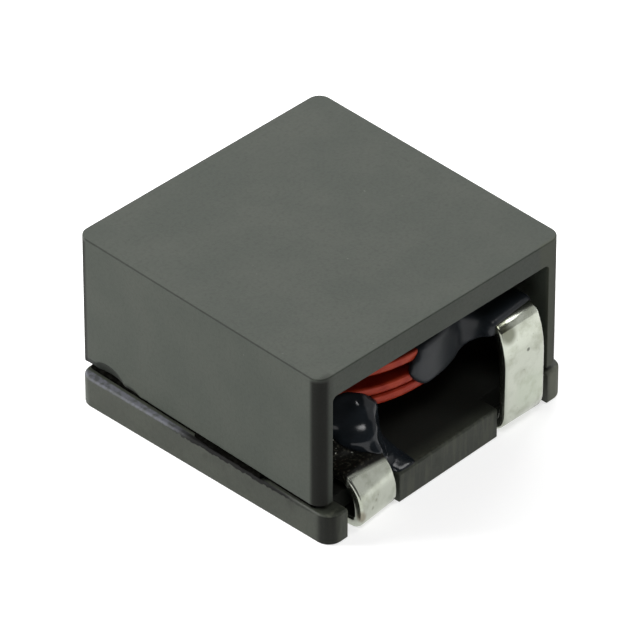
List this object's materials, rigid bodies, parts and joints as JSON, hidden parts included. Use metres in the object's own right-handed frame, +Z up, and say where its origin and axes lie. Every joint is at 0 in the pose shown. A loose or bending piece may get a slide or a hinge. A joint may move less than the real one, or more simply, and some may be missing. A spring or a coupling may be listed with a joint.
{
  "type": "smd power inductor",
  "caption": "Surface-mount power inductor: square ferrite cap glued on a ferrite base plate, round an edge-wound flat-wire winding whose tinned ends fold under the base as solder terminals.",
  "frame": {"origin": "on the underside of the base plate, under the middle of the ferrite cap", "axes": "+Z up through the cap, terminals at the -Y end, X across the two side walls with the low terminal at -X"},
  "size_m": [0.0188, 0.019, 0.0106],
  "materials": {
    "cap_ferrite": "satin",
    "base_ferrite": "satin",
    "flat_wire": "gloss",
    "lead_coating": "gloss",
    "joint_adhesive": "gloss"
  },
  "bodies": {
    "root": {"core_cap": "cap_ferrite", "core_base": "base_ferrite", "winding": "flat_wire", "lead_coat_low": "lead_coating", "lead_coat_high": "lead_coating", "joint_bead_left": "joint_adhesive", "joint_bead_right": "joint_adhesive"}
  },
  "joints": []
}
